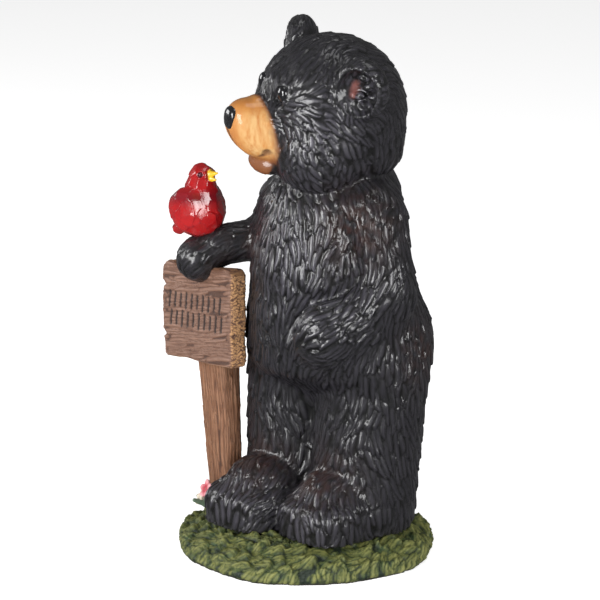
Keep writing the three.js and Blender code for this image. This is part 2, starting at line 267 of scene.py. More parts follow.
def inside_grid(field, axes, voxel, block=4):
    """Whether each point of a grid is inside. Far from the surface one point speaks for its whole block."""
    middles = [axis[::block] + (block - 1) / 2 * voxel for axis in axes]
    spread = grid_of(middles)
    spread = in_parts(field, spread.reshape(-1, 3)).reshape(spread.shape[:3])
    for axis in range(3):
        spread = np.repeat(spread, block, axis).take(range(len(axes[axis])), axis)
    close = np.abs(spread) < 2 * block * voxel
    spread[close] = in_parts(field, grid_of(axes)[close])
    return spread < 0


def wrap(field, low, high, voxel):
    """Points and quads of the surface where the field is zero, by surface nets."""
    axes = [np.arange(a, b + voxel, voxel) for a, b in zip(low, high)]
    inside = inside_grid(field, axes, voxel)
    shape = inside.shape
    corners = sum(
        inside[i : shape[0] - 1 + i, j : shape[1] - 1 + j, k : shape[2] - 1 + k].astype(np.int8)
        for i in (0, 1)
        for j in (0, 1)
        for k in (0, 1)
    )
    active = (corners > 0) & (corners < 8)
    number = np.full(active.shape, -1)
    number[active] = np.arange(active.sum())
    points = np.stack(np.nonzero(active), 1) * voxel + [axis[0] + voxel / 2 for axis in axes]
    quads = []
    for axis in range(3):
        first = np.moveaxis(inside, axis, 0)
        cells = np.moveaxis(number, axis, 0)
        change = first[:-1, 1:-1, 1:-1] != first[1:, 1:-1, 1:-1]
        i, j, k = np.nonzero(change)
        ring = np.stack([cells[i, j, k], cells[i, j + 1, k], cells[i, j + 1, k + 1], cells[i, j, k + 1]], 1)
        outward = first[i, j + 1, k + 1]
        if axis == 1:
            outward = ~outward
        ring[~outward] = ring[~outward][:, ::-1]
        quads.append(ring)
    return points, np.concatenate(quads)


def edges_of(quads):
    """The two ends of each quad's four edges, and one number for each edge that is shared."""
    ends = np.sort(np.stack([quads, np.roll(quads, -1, 1)], -1).reshape(-1, 2), 1)
    return ends, ends[:, 0].astype(np.int64) * (quads.max() + 1) + ends[:, 1]


def relax(points, quads):
    """Moves each point to the mean of its neighbours."""
    ends, _ = edges_of(quads)
    both = np.concatenate([ends, ends[:, ::-1]])
    count = np.bincount(both[:, 0], minlength=len(points))
    moved = [np.bincount(both[:, 0], points[both[:, 1], axis], len(points)) for axis in range(3)]
    return np.stack(moved, 1) / np.maximum(count, 1)[:, None]


def refine(points, quads):
    """Splits each quad in four."""
    ends, key = edges_of(quads)
    _, first, where = np.unique(key, return_index=True, return_inverse=True)
    middles = points[ends[first]].mean(1)
    faces = points[quads].mean(1)
    edge = len(points) + where.reshape(-1, 4)
    face = len(points) + len(middles) + np.arange(len(quads))
    split = [np.stack([quads[:, i], edge[:, i], face, edge[:, i - 1]], 1) for i in range(4)]
    return np.concatenate([points, middles, faces]), np.concatenate(split)


def point_normals(points, quads):
    a, b, c, d = (points[quads[:, i]] for i in range(4))
    face = np.cross(c - a, d - b)
    total = [sum(np.bincount(quads[:, i], face[:, axis], len(points)) for i in range(4)) for axis in range(3)]
    return unit(np.stack(total, 1))


def sculpt(name, field, low, high):
    """A fine, even mesh on the field's surface, with its normals."""
    full, quick, _ = DETAIL[name]
    voxel = full
    points, quads = wrap(field, low, high, voxel)
    for _ in range(3):
        points = relax(points, quads)
        normals = point_normals(points, quads)
        points = points - normals * np.clip(in_parts(field, points), -voxel, voxel)[:, None]
    points, quads = refine(points, quads)
    normals = point_normals(points, quads)
    points = points - normals * np.clip(in_parts(field, points), -voxel, voxel)[:, None]
    return points, quads, point_normals(points, quads)


# Carving: locks, blades and grooves


# How far a lock is felt, how it tapers and how much its width varies, as shares of its length or width
LOCK_REACH = 0.85
LOCK_TAPER = 0.35
LOCK_UNEVEN = 0.12
MOST_TRIES = 50_000
STEPS = [(a, b, c) for a in (-1, 0, 1) for b in (-1, 0, 1) for c in (-1, 0, 1)]


def cubes_around(i, j, k):
    """The numbers of a cube and of the 26 cubes that touch it."""
    return [(i + a, j + b, k + c) for a, b, c in STEPS]


class Bins:
    """Finds the points near a place, by cubes of one size."""

    def __init__(self, points, size):
        self.size = size
        keys = np.floor(points / size).astype(int)
        order = np.lexsort(keys.T)
        keys = keys[order]
        starts = np.nonzero(np.r_[True, (np.diff(keys, axis=0) != 0).any(1)])[0]
        ends = np.r_[starts[1:], len(keys)]
        self.cubes = {tuple(keys[s]): order[s:e] for s, e in zip(starts, ends)}

    def near(self, place):
        steps = cubes_around(*(int(math.floor(c / self.size)) for c in place))
        return np.concatenate([self.cubes[s] for s in steps if s in self.cubes])


def scatter(points, normals, flow, locks, spacing, rng):
    """Picks the points where locks grow, no two closer than a share of their own size."""
    wanted = np.nonzero(locks[:, 2] > 0.05)[0]
    picked, cubes = [], {}
    size = 0.6 * locks[:, 0].max()
    side = np.cross(normals, flow)
    for n in rng.permutation(wanted)[:MOST_TRIES]:
        cell = tuple(np.floor(points[n] / size).astype(int))
        others = [m for s in cubes_around(*cell) for m in cubes.get(s, ())]
        if others:
            offset = points[others] - points[n]
            along = offset @ flow[n] / (0.5 * locks[n, 0])
            across = offset @ side[n] / (0.5 * locks[n, 1])
            through = offset @ normals[n] / (0.5 * locks[n, 0])
            if (along**2 + across**2 + through**2).min() < spacing**2:
                continue
        picked.append(n)
        cubes.setdefault(cell, []).append(n)
    return np.array(picked)


class Carving(NamedTuple):
    """How high the carving stands at each point, how near the point is to its lock's crown (from 0 in a
    groove to 1), its place across and along the lock with the lock's own number, and where that lock grew."""

    relief: np.ndarray
    crown: np.ndarray
    strand: np.ndarray
    owner: np.ndarray


def comb(points, normals, flow, locks, rng, spacing=1.55, wave=0.4, tilt=0.35):
    """Carves one lock along a stroke at each seed. A point belongs to the stroke that is nearest. Each lock
    is round across, with its crown on the stroke and a groove halfway to its neighbour's. A lock is its
    length, width and height."""
    seeds = scatter(points, normals, flow, locks, spacing, rng)
    bins = Bins(points, LOCK_REACH * locks[:, 0].max())
    nearest = np.full(len(points), 1e3)
    second = nearest.copy()
    height = np.zeros(len(points))
    half_width = np.ones(len(points))
    off_crown = np.ones(len(points))
    strand = np.zeros((len(points), 3))
    owner = np.zeros(len(points), int)
    for n in seeds:
        sizes = (rng.uniform(0.8, 1.25), rng.uniform(0.8, 1.2), rng.uniform(0.6, 1.2))
        length, width, rise = locks[n] * sizes
        wiggle = rng.normal(0, wave, 2) * width
        side = np.cross(normals[n], flow[n])
        near = bins.near(points[n])
        offset = points[near] - points[n]
        along, across, drop = offset @ flow[n], offset @ side, offset @ normals[n]
        close = (np.abs(along) < LOCK_REACH * length) & (np.abs(across) < 2.5 * width)
        close &= (np.abs(drop) < 0.5 * length) & (normals[near] @ normals[n] > 0.2)
        near, along, across, drop = near[close], along[close], across[close], drop[close]
        bend = (along * (flow[near] @ side)).sum() / max((along * along).sum(), 1.0)
        t = along / (0.5 * length)
        across = across - bend * along * along / 2 + (wiggle[0] * t + wiggle[1]) * (1 - t * t)
        beyond = np.maximum(np.abs(along) - length / 2, 0)
        from_stroke = np.sqrt(beyond**2 + across**2 + (0.5 * drop) ** 2)
        distance = from_stroke + width * (LOCK_TAPER * np.minimum(t * t, 1.5) - LOCK_UNEVEN * rng.normal())
        nearer = distance < nearest[near]
        second[near] = np.where(nearer, nearest[near], np.minimum(second[near], distance))
        chosen = near[nearer]
        tip = np.clip(t[nearer], -1, 1)
        nearest[chosen] = distance[nearer]
        height[chosen] = rise * (1 - tilt + tilt * tip)
        half_width[chosen] = width / 2 * (1 - 0.4 * smooth_step(0.2, 1, tip))
        off_crown[chosen] = from_stroke[nearer]
        strand[chosen] = np.stack([across[nearer], along[nearer], np.full(len(chosen), n % 97)], 1)
        owner[chosen] = n
    to_groove = np.minimum((second - nearest) / 2, np.maximum(1.8 * half_width - off_crown, 0))
    reach = off_crown + to_groove + 1e-6
    crown = np.sqrt(1 - np.minimum(off_crown / reach, 1) ** 2)
    return Carving(height * crown * np.minimum(reach / half_width, 1), crown, strand, owner)


# Making a mesh of it


def add_object(name, data):
    made = bpy.data.objects.new(name, data)
    bpy.context.scene.collection.objects.link(made)
    return made


def make_piece(name, points, quads, node, material, values=(), strand=None):
    """A smooth-shaded piece with its painted attributes, thinned out to its number of triangles."""
    mesh = bpy.data.meshes.new(name)
    mesh.from_pydata((points * MM).tolist(), [], quads.tolist())
    for label, data in dict(values).items():
        mesh.attributes.new(label, "FLOAT", "POINT").data.foreach_set("value", np.asarray(data, np.float32))
    if strand is not None:
        flat = np.ascontiguousarray(strand, np.float32).ravel()
        mesh.attributes.new("strand", "FLOAT_VECTOR", "POINT").data.foreach_set("vector", flat)
    piece = add_object(name, mesh)
    triangles = DETAIL[name][2]
    if triangles and 2 * len(quads) > triangles:
        thin = piece.modifiers.new("Thinner", "DECIMATE")
        thin.ratio = triangles / (2 * len(quads))
        graph = bpy.context.evaluated_depsgraph_get()
        piece.data = bpy.data.meshes.new_from_object(piece.evaluated_get(graph))
        piece.modifiers.clear()
    piece.data.shade_smooth()
    piece.data.materials.clear()
    piece.data.materials.append(material)
    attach(piece, "root")
    if node:
        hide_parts(node)
    return piece


# Materials


class Paint:
    """Builds one material node by node. An input is a value or another node's output."""

    def __init__(self, name):
        self.material = bpy.data.materials.new(name)
        self.material.use_nodes = True
        self.tree = self.material.node_tree
        self.shader = self.tree.nodes["Principled BSDF"]

    def node(self, kind, output=0, settings=(), **inputs):
        made = self.tree.nodes.new("ShaderNode" + kind)
        for label, value in dict(settings).items():
            setattr(made, label, value)
        for label, value in inputs.items():
            self.set(made.inputs[int(label[1:]) if label[0] == "_" else label.replace("_", " ")], value)
        return made.outputs[output]

    def set(self, socket, value):
        if isinstance(value, bpy.types.NodeSocket):
            self.tree.links.new(value, socket)
        elif socket.type == "RGBA" and len(value) == 3:
            socket.default_value = (*value, 1.0)
        else:
            socket.default_value = value

    def attribute(self, name, output="Fac"):
        return self.node("Attribute", output, {"attribute_name": name})

    def noise(self, size, stretch=None):
        """Noise whose blotches are about `size` millimetres wide, pulled out along the axes by `stretch`."""
        place = self.node("TexCoord", "Object")
        if stretch:
            place = self.node("Mapping", Vector=place, Scale=tuple(1 / s for s in stretch))
        return self.node("TexNoise", "Fac", Vector=place, Scale=1 / (size * MM), Detail=4.0, Roughness=0.55)

    def between(self, value, low, high, bottom=0.0, top=1.0):
        return self.node("MapRange", _0=value, _1=low, _2=high, _3=bottom, _4=top)

    def mix(self, factor, a, b, blend="MIX"):
        return self.node("Mix", 2, {"data_type": "RGBA", "blend_type": blend}, _0=factor, _6=a, _7=b)

    def plus(self, a, b):
        return self.node("Math", 0, {"operation": "ADD"}, _0=a, _1=b)

    def times(self, a, b):
        return self.node("Math", 0, {"operation": "MULTIPLY"}, _0=a, _1=b)

    def finish(self, colour, roughness, height=None, depth=0.3, **constants):
        self.set(self.shader.inputs["Base Color"], colour)
        self.set(self.shader.inputs["Roughness"], roughness)
        if height is not None:
            bump = self.node("Bump", 0, Height=height, Strength=1.0, Distance=depth * MM)
            self.set(self.shader.inputs["Normal"], bump)
        for label, value in constants.items():
            self.set(self.shader.inputs[label.replace("_", " ")], value)
        return self.material


def streaks(paint, across, along):
    """Fine lines that run with each lock. The sizes are in millimetres."""
    strand = paint.attribute("strand", "Vector")
    place = paint.node("Mapping", Vector=strand, Scale=(1 / across, 1 / along, 1.0))
    return paint.node("TexNoise", "Fac", Vector=place, Scale=1.0, Detail=3.0, Roughness=0.6)


def fur_paint():
    """Glossy near-black with painted shade in the grooves and, on the ridges, dry-brushed grey that is also a
    painted sheen, with brown wash, a tan muzzle and pink ears.
    """
    paint = Paint("bear fur")
    relief = paint.attribute("relief")
    strands = streaks(paint, 0.9, 12.0)
    # The ridges take grey that is dry-brush and also a painted sheen, strongest on the breast, forearm, feet
    # and cheek
    ridge = paint.between(paint.plus(relief, paint.times(strands, 0.5)), 0.85, 1.3)
    ridge = paint.times(ridge, paint.between(paint.noise(9.0), 0.3, 0.7, 0.4, 1.0))
    ridge = paint.times(ridge, paint.between(paint.attribute("grey"), 0.0, 1.0, 0.25, 1.0))
    # Painted shade: the grooves are painted darker than the lock crowns
    colour = paint.mix(paint.between(relief, 0.1, 0.6), (0.0012, 0.0012, 0.0015), (0.009, 0.0085, 0.0105))
    colour = paint.mix(ridge, colour, (0.085, 0.08, 0.1))
    wash = paint.times(paint.attribute("brown"), paint.between(paint.noise(6.0), 0.35, 0.62))
    colour = paint.mix(wash, colour, (0.03, 0.011, 0.008))
    pink = paint.times(paint.attribute("pink"), paint.between(paint.noise(3.0), 0.25, 0.5, 0.5, 1.0))
    colour = paint.mix(pink, colour, (0.2, 0.07, 0.06))
    colour = paint.mix(paint.attribute("tan"), colour, muzzle_colour(paint))
    rough = paint.between(relief, 0.2, 0.9, 0.55, 0.3)
    height = paint.plus(strands, paint.times(paint.noise(0.8), 0.25))
    height = paint.times(height, paint.between(paint.attribute("tan"), 0.0, 1.0, 1.0, 0.12))
    gloss = {"Specular_IOR_Level": 0.35, "Coat_Weight": 0.6, "Coat_Roughness": 0.14}
    return paint.finish(colour, rough, height, 0.5, **gloss)


def muzzle_colour(paint):
    """Tan with a creamy brushed side, dark towards the fur and in the mouth, with painted shade under the
    chin.
    """
    grain = paint.between(paint.noise(7.0, stretch=(1, 1, 2.5)), 0.35, 0.65)
    tan = paint.mix(grain, (0.4, 0.15, 0.03), (0.48, 0.21, 0.05))
    brush = paint.between(paint.noise(2.5, stretch=(1, 1, 5)), 0.3, 0.6)
    tan = paint.mix(paint.times(paint.attribute("cream"), brush), tan, (0.52, 0.31, 0.12))
    # Darker towards the fur, and painted shade under the chin
    tan = paint.mix(paint.attribute("shade"), tan, (0.13, 0.035, 0.01))
    return paint.mix(paint.attribute("mouth"), tan, (0.05, 0.012, 0.007))


def gloss_black_paint(name, roughness):
    paint = Paint(name)
    colour = paint.mix(paint.noise(2.0), (0.004, 0.004, 0.005), (0.012, 0.012, 0.014))
    rough = paint.between(paint.noise(0.7), 0.3, 0.7, roughness, roughness + 0.08)
    return paint.finish(colour, rough, paint.noise(1.2), 0.02, Coat_Weight=0.6, Coat_Roughness=0.05)


def grass_paint():
    paint = Paint("grass")
    relief = paint.attribute("relief")
    strands = streaks(paint, 0.7, 8.0)
    hue = paint.mix(paint.noise(11.0), (0.048, 0.07, 0.015), (0.1, 0.11, 0.024))
    hue = paint.mix(paint.between(paint.noise(8.0), 0.5, 0.72), hue, (0.028, 0.06, 0.02))
    ridge = paint.between(paint.plus(relief, paint.times(strands, 0.6)), 0.85, 1.5)
    colour = paint.mix(ridge, hue, (0.26, 0.26, 0.075))
    # Painted shade: darker in the hollows between tufts and blades
    deep = paint.between(relief, 0.15, 0.5, 1.0, 0.0)
    colour = paint.mix(deep, colour, (0.012, 0.022, 0.012))
    colour = paint.mix(paint.attribute("rim"), colour, (0.02, 0.018, 0.012))
    return paint.finish(colour, paint.between(strands, 0.3, 0.7, 0.5, 0.7), strands, 0.4)


def wood_paint(name, light, dark, worn):
    """Painted wood grain along the strands, with painted shade in the cuts and a dry-brushed light edge."""
    paint = Paint(name)
    relief = paint.attribute("relief")
    grain = streaks(paint, 0.5, 16.0)
    broad = paint.noise(9.0)
    colour = paint.mix(paint.between(grain, 0.35, 0.62), dark, light)
    brushed = paint.between(broad, 0.3, 0.6, 0.1, 0.6)
    colour = paint.mix(paint.times(paint.between(relief, 0.6, 1.0), brushed), colour, worn)
    chips = paint.times(paint.attribute("rough_end"), paint.between(relief, 0.45, 0.8))
    colour = paint.mix(chips, colour, (0.46, 0.25, 0.11))
    # Painted shade: darker in the cuts
    deep = paint.between(relief, 0.0, 0.4, 0.75, 0.0)
    colour = paint.mix(deep, colour, (0.05, 0.022, 0.014))
    colour = paint.mix(paint.attribute("ink"), colour, (0.025, 0.014, 0.012))
    return paint.finish(colour, paint.between(grain, 0.3, 0.7, 0.45, 0.65), grain, 0.35)


def bird_paint():
    paint = Paint("red bird")
    relief = paint.attribute("relief")
    colour = paint.mix(paint.noise(5.0), (0.22, 0.004, 0.006), (0.42, 0.009, 0.01))
    # Painted shade: darker in the grooves between facets
    colour = paint.mix(paint.between(relief, 0.0, 0.5, 0.35, 0.0), colour, (0.09, 0.003, 0.01))
    colour = paint.mix(paint.attribute("dark"), colour, (0.03, 0.004, 0.012))
    colour = paint.mix(paint.attribute("yellow"), colour, (0.75, 0.45, 0.02))
    rough = paint.between(paint.noise(1.5), 0.3, 0.7, 0.16, 0.28)
    return paint.finish(colour, rough, paint.noise(1.2), 0.06, Coat_Weight=0.4, Coat_Roughness=0.08)


def flower_paint():
    paint = Paint("flower")
    tip = paint.attribute("tip")
    petal = paint.mix(tip, (0.5, 0.04, 0.07), (0.85, 0.42, 0.45))
    colour = paint.mix(paint.attribute("cream"), petal, (0.75, 0.7, 0.55))
    colour = paint.mix(paint.attribute("leaf"), colour, (0.13, 0.2, 0.13))
    colour = paint.mix(paint.times(paint.noise(1.5), 0.4), colour, (0.3, 0.05, 0.05), "MULTIPLY")
    return paint.finish(colour, 0.5, paint.noise(0.8), 0.15)


# The bear

HEAD_TURN = turn_matrix(-19.0, 10.0)


def head_place(points):
    """Points in the head's own frame: the muzzle points to -Y, +Z is the crown."""
    return (points - HEAD_CENTRE) @ HEAD_TURN


def head_form(distance, flow, lock, fillet):
    """A form whose field and flow are described in the head's own frame."""
    placed = lambda points: distance(head_place(points))
    turned = lambda points: flow(head_place(points)) @ HEAD_TURN.T
    return Form(placed, turned, lock, fillet)


EYES = ((12.8, -42.6, 18.3), (-12.8, -42.6, 18.3))
EYE_RADII = (4.8, 3.4, 5.8)
NOSE = (0.0, -67.5, 1.5)
NOSE_RADII = (6.6, 5.2, 7.4)
EAR_TURN = 40.0
EAR_PLACE = (42.0, -6.0, 28.5)
MOUTH = ((0, -57, -25.5), (10, -55.5, -22.5), (16.5, -52, -16.5))
PHILTRUM = ((0, -71, -6), (0, -58, -25))


def ear_place(points, side):
    """Points of the head in an ear's own frame: its cup opens to -Y."""
    return (points - np.array(EAR_PLACE) * (side, 1, 1)) @ turn_matrix(side * EAR_TURN)


def ear_distance(side):
    """A round shell, cupped in front and turned outwards, with clumps of fur in the cup."""
    clumps = ((1, 8), (4, 3), (0, -3), (3.5, -8), (8.5, 5), (8, -2.5))

    def distance(points):
        local = ear_place(points, side)
        shell = ball(local, (0, 0, 0), (17, 12, 19))
        cup = ball(local, (0, -11.5, -0.5), (13.6, 12.3, 15.4))
        ear = carve(shell, cup, 1.6)
        for x, z in clumps:
            ear = melt(ear, ball(local, (side * x, -1.0, z), (3.6, 3.2, 2.4)), 0.8)
        return ear

    return distance


def mouth_lines(points):
    """The distance to the line from the nose down to the lips and back along both sides of the mouth."""
    nearest = rod(points, *PHILTRUM)
    for side in (1, -1):
        ends = [np.array(place) * (side, 1, 1) for place in MOUTH]
        for start, stop in zip(ends, ends[1:]):
            nearest = np.minimum(nearest, rod(points, start, stop))
    return nearest


def mouth_corners(points):
    corner = np.array(MOUTH[-1])
    return np.minimum(lengths(points - corner), lengths(points - corner * (-1, 1, 1)))


def muzzle_distance(points):
    snout = rod(points, (0, -38, -1.5), (0, -59.5, 0.5), (17.5, 12.5))
    upper = melt(snout, ball(points, (0, -44, -8.5), (19.5, 21.5, 17)), 10.0)
    both = melt(upper, ball(points, (0, -41, -27.8), (14.5, 13, 7.6)), 2.5)
    both = carve(both, mouth_lines(points) - 0.9, 1.5)
    return carve(both, mouth_corners(points) - 2.3, 2.0)


def bare_muzzle(points):
    """Below zero where the muzzle is bare and painted tan."""
    up = points[:, 2]
    return points[:, 1] + 47.5 + 0.2 * np.clip(up + 8, -10, 30) + 0.1 * np.clip(-18 - up, 0, 12)


def face_distance(points):
    """The skull, with the jowls and the bridge between the eyes."""
    skull = ball(points, (0, -3.5, 1.5), (46, 46.5, 46.5))
    skull = melt(skull, ball(points, (0, -2, -15), (44, 42, 31), 2.5), 4.0)
    return melt(skull, ball(points, (0, -40, 16), (8, 9, 14)), 6.0)


def head_flow(points):
    """Fur runs up from the brow and over the crown, back past the eyes and down the cheeks and nape."""
    x, y, z = points.T
    over = unit(np.stack([0 * y, z + 12, -(y + 3.5)], 1))
    beside = np.maximum(smooth_step(8, 22, np.abs(x)), smooth_step(14, 4, z))
    beside = beside * np.maximum(smooth_step(14, -4, y), smooth_step(2, -10, z))
    level = (smooth_step(36, 20, z) * beside)[:, None]
    low = smooth_step(6, -12, z)[:, None]
    behind = (smooth_step(-4, 16, y) * smooth_step(22, 4, z))[:, None]
    back, down, nape = np.array(((0.15, 0.92, -0.36), (0.1, 0.55, -0.84), (0.0, 0.1, -1.0)))
    flow = over + (back + (down - back) * low - over) * level
    return flow + (nape - flow) * behind


def head_forms():
    forms = [head_form(face_distance, head_flow, "face", 6.0)]
    for side in (1, -1):
        cheek = lambda p, side=side: ball(p, (side * 22, -20, -18), (25, 26, 25))
        rim = lambda p, side=side: unit(p - (side * 40, -12, 24))
        forms.append(head_form(cheek, head_flow, "cheek", 10.0))
        forms.append(head_form(ear_distance(side), rim, "ear", 3.0))
    forms.append(head_form(muzzle_distance, head_flow, "muzzle", 3.0))
    return forms


def head_distance(points):
    """All of the head, with a socket sunk round each eye."""
    head = joined(head_forms())(points)
    local = head_place(points)
    for x, y, z in EYES:
        head = carve(head, ball(local, (x, y - 3.6, z), (4.9, 5.2, 6.8)), 1.6)
    return head


TRUNK_STEPS = np.arange(TRUNK[0, 0], TRUNK[-1, 0] + 1.0)
TRUNK_SMOOTH = np.stack([
    np.convolve(np.pad(np.interp(TRUNK_STEPS, TRUNK[:, 0], column), 5, "edge"), np.full(11, 1 / 11), "valid")
    for column in TRUNK[:, 1:].T
])


def trunk_distance(points):
    z = points[:, 2]
    half_width, half_depth, middle = (np.interp(z, TRUNK_STEPS, column) for column in TRUNK_SMOOTH)
    radii = np.stack([half_width, half_depth], 1)
    scaled = np.stack([points[:, 0] - AXIS_X, points[:, 1] - middle], 1) / radii + 1e-9
    level = lengths(scaled)
    side = (level - 1) / lengths(scaled / level[:, None] / radii)
    ends = np.maximum(TRUNK_STEPS[0] - 5 - z, z - TRUNK_STEPS[-1] - 5)
    return -melt(-side, -ends, 14.0)


# Each leg's side and how far it stands forward, and the joints of both arms
LEGS = ((1, 0), (-1, -12))
LEFT_SHOULDER, LEFT_ELBOW, LEFT_WRIST = (41, 11, 209), (50.5, 11.5, 169), (41, -20, 150)
RIGHT_SHOULDER, RIGHT_ELBOW, RIGHT_WRIST = (-21.5, 8.5, 210), (-36, 3, 190), (-55, -23, 186)


def leg_form(side, stride):
    x = AXIS_X + side * LEG_SPREAD
    hip, ankle = (x + side * 2, 20 + stride / 2, 108), (x + side, 13 + stride / 4, 30)
    return Form(lambda p: rod(p, hip, ankle, (34, 32.5)), (side * 0.12, 0, -1), "leg", 5.0)


def foot_forms(side, stride):
    x = AXIS_X + side * LEG_SPREAD
    instep, sole = (x, stride - 3, 30), (x + side, stride - 5, 28)
    return [
        Form(lambda p: ball(p, instep, (27, 34.5, 31.5), 2.2), (0, -0.7, -1), "instep"),
        Form(lambda p: ball(p, sole, (28, 38.5, 18), 3.6), (0, -0.25, -1), "sole", 4.0),
    ]


def limb_form(start, end, radii, lock, fillet):
    way = np.array(end, float) - np.array(start, float)
    return Form(lambda p: rod(p, start, end, radii), way / math.hypot(*way), lock, fillet)


def trunk_forms():
    """The trunk with the tail and the right arm, which reaches over the signboard."""
    return [
        Form(trunk_distance, (0, 0, -1), "trunk"),
        Form(lambda p: rod(p, (AXIS_X, 66, 118), (AXIS_X, 76, 107), (11, 7)), (0, 0.5, -1), "tail"),
        limb_form(RIGHT_SHOULDER, RIGHT_ELBOW, (22, 15), "right upper arm", 9.0),
        limb_form(RIGHT_ELBOW, RIGHT_WRIST, (13.5, 12.5), "right forearm", 4.0),
        Form(lambda p: ball(p, PAW, (14, 15.5, 14.5)), (-0.2, -0.7, -0.8), "right hand", 4.0),
    ]


def arm_seam(points):
    """How sharp the crease round the left arm is: full above and in front of it, none below."""
    _, y, z = points.T
    axis = LEFT_WRIST[2] + 0.6 * (np.clip(y, -30, LEFT_ELBOW[1]) - LEFT_WRIST[1])
    return smooth_step(-8, 6, z - axis) * smooth_step(226, 206, z)


def belly_seam(points):
    """How sharp the fold under the belly is: it shows in front alone."""
    x, y, _ = points.T
    return smooth_step(0.45, 0.8, (20 - y) / (np.hypot(x - AXIS_X, y - 20) + 1e-6))


def left_arm_forms():
    return [
        limb_form(LEFT_SHOULDER, LEFT_ELBOW, (24.5, 20.5), "left arm", 9.0),
        limb_form(LEFT_ELBOW, LEFT_WRIST, (21, 19), "left forearm", 6.0),
        Form(lambda p: ball(p, (37.5, -25, 147), (18, 18, 20)), (-0.6, -0.75, -0.5), "left arm", 8.0),
    ]


def bear():
    """The whole bear but its eyes and nose. Legs, arm and head meet the trunk in creases."""
    rng = np.random.default_rng(SEED)
    feet = [form for leg in LEGS for form in foot_forms(*leg)]
    groups = (trunk_forms(), [leg_form(*leg) for leg in LEGS], feet, left_arm_forms(), head_forms())
    fields = [*(joined(group) for group in groups[:-1]), head_distance]

    def field(points):
        trunk, legs, feet, arm, head = (each(points) for each in fields)
        seam = arm_seam(points)
        body = crease(trunk, melt(legs, feet, 2.5), 1.2 * belly_seam(points), 4.0, 9.0)
        body = crease(body, arm, 2.4 * seam, 3.5, 10.0 - 9.0 * seam)
        return np.maximum(crease(body, head, 2.2, 5.0, 2.0), MOUND_HEIGHT - 2.0 - points[:, 2])

    low, high = (np.array(c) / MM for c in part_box("bear"))
    points, quads, normals = sculpt("carved_bear", field, low - 6, high + 6)
    forms = [form for group in groups for form in group]
    flow = wavy(blended_flow(forms, points), points, normals, 0.35, 21.0, rng)
    weights = shares(forms, points, 2.0)
    head = head_place(points)
    tan = smooth_step(0.6, -0.6, bare_muzzle(head)) * smooth_step(5.0, 3.0, muzzle_distance(head))
    socket = np.minimum(*(lengths((head - eye) / (5.6, 5.5, 7.2)) for eye in EYES))
    locks = sum(weight[:, None] * LOCKS[form.lock] for form, weight in zip(forms, weights))
    locks[:, 2] *= (1 - tan) * smooth_step(0.9, 1.3, socket)
    carving = comb(points, normals, flow, locks, rng)
    raised = points + normals * (carving.relief - 0.55 * locks[:, 2])[:, None]
    raised[:, 2] = np.maximum(raised[:, 2], MOUND_HEIGHT - 2.0)

    across, forward, up = head.T
    corners = smooth_step(4.2, 1.5, mouth_corners(head))
    values = {
        "relief": carving.crown * (1 - tan),
        "tan": tan,
        "cream": smooth_step(7, 12, np.abs(across)) * smooth_step(-24, -16, up) * smooth_step(12, 6, up),
        # darker towards the fur, and painted shade under the chin
        "shade": np.maximum(0.9 * smooth_step(-3.5, 0, bare_muzzle(head)), 0.85 * smooth_step(-20, -25, up)),
        "mouth": np.maximum(smooth_step(2.2, 1.0, mouth_lines(head)), corners),
        "brown": brown_wash(points),
        # grey on the ridges: dry-brush, and a painted sheen on the breast, forearm, fronts of the feet and
        # cheek
        "grey": grey_brush_and_sheen(points, head),
        "pink": pink_ears(head),
    }
    make_piece("carved_bear", raised, quads, "bear", fur_paint(), values, carving.strand)


def patches(points, spots):
    """Soft round patches, each with its centre and its radius, as a strength between 0 and 1."""
    total = np.zeros(len(points))
    for x, y, z, size in spots:
        total = np.maximum(total, np.exp(-((lengths(points - (x, y, z)) / size) ** 2)))
    return total


def grey_brush_and_sheen(points, head):
    """Where the grey on the ridges is strongest: breast, forearm, fronts of the feet, cheek and ear tufts. On
    all but the ear tufts it is dry-brushed grey and a painted sheen where the light falls.
    """
    body = patches(points, ((18, -36, 195, 34), (40, -20, 165, 24), (-15, -45, 38, 22), (34, -38, 38, 24)))
    cheek = patches(head, ((32, -28, 0, 24),))
    tufts = patches(head, ((47, -8, 28, 10),))
    return np.maximum(np.maximum(body, cheek), 2.0 * tufts)


def brown_wash(points):
    """Where the brown wash lies: on the shoulder, the insteps, the chest by the sign and the rump."""
    feet = ((34, -20, 52, 18), (-16, -28, 52, 18))
    return patches(points, ((50, -8, 212, 20), *feet, (-20, -22, 188, 18), (60, 30, 130, 16)))


def pink_ears(head):
    total = np.zeros(len(head))
    for side in (1, -1):
        local = ear_place(head, side)
        spot = lengths((local - (-side * 4.0, -2.0, 0.0)) / (3.2, 6.0, 7.0))
        total = np.maximum(total, smooth_step(1.0, 0.5, spot))
    return total


def world_from_head(points):
    return points @ HEAD_TURN.T + HEAD_CENTRE


def eyes():
    field = lambda p: np.minimum(ball(p, EYES[0], EYE_RADII), ball(p, EYES[1], EYE_RADII))
    points, quads, _ = sculpt("bear_eyes", field, (-21, -47, 10), (21, -35, 27))
    make_piece("bear_eyes", world_from_head(points), quads, None, gloss_black_paint("eye", 0.05))


def nose():
    def field(points):
        pad = ball(points, NOSE, NOSE_RADII, 2.6)
        for side in (1, -1):
            pad = carve(pad, ball(points, (side * 3.4, -73.0, -1.0), (1.5, 1.3, 1.0)), 0.8)
        return pad

    points, quads, _ = sculpt("bear_nose", field, (-10, -75, -9), (10, -60, 12))
    make_piece("bear_nose", world_from_head(points), quads, None, gloss_black_paint("nose", 0.16))


# The grass mound

# Heights, and how far in from the edge the side is at each
MOUND_SHOULDER = ([0, 4, 8, 11, 13, 16, 19.5, 22], [2, 0, 0, 2, 6, 13, 22, 60])


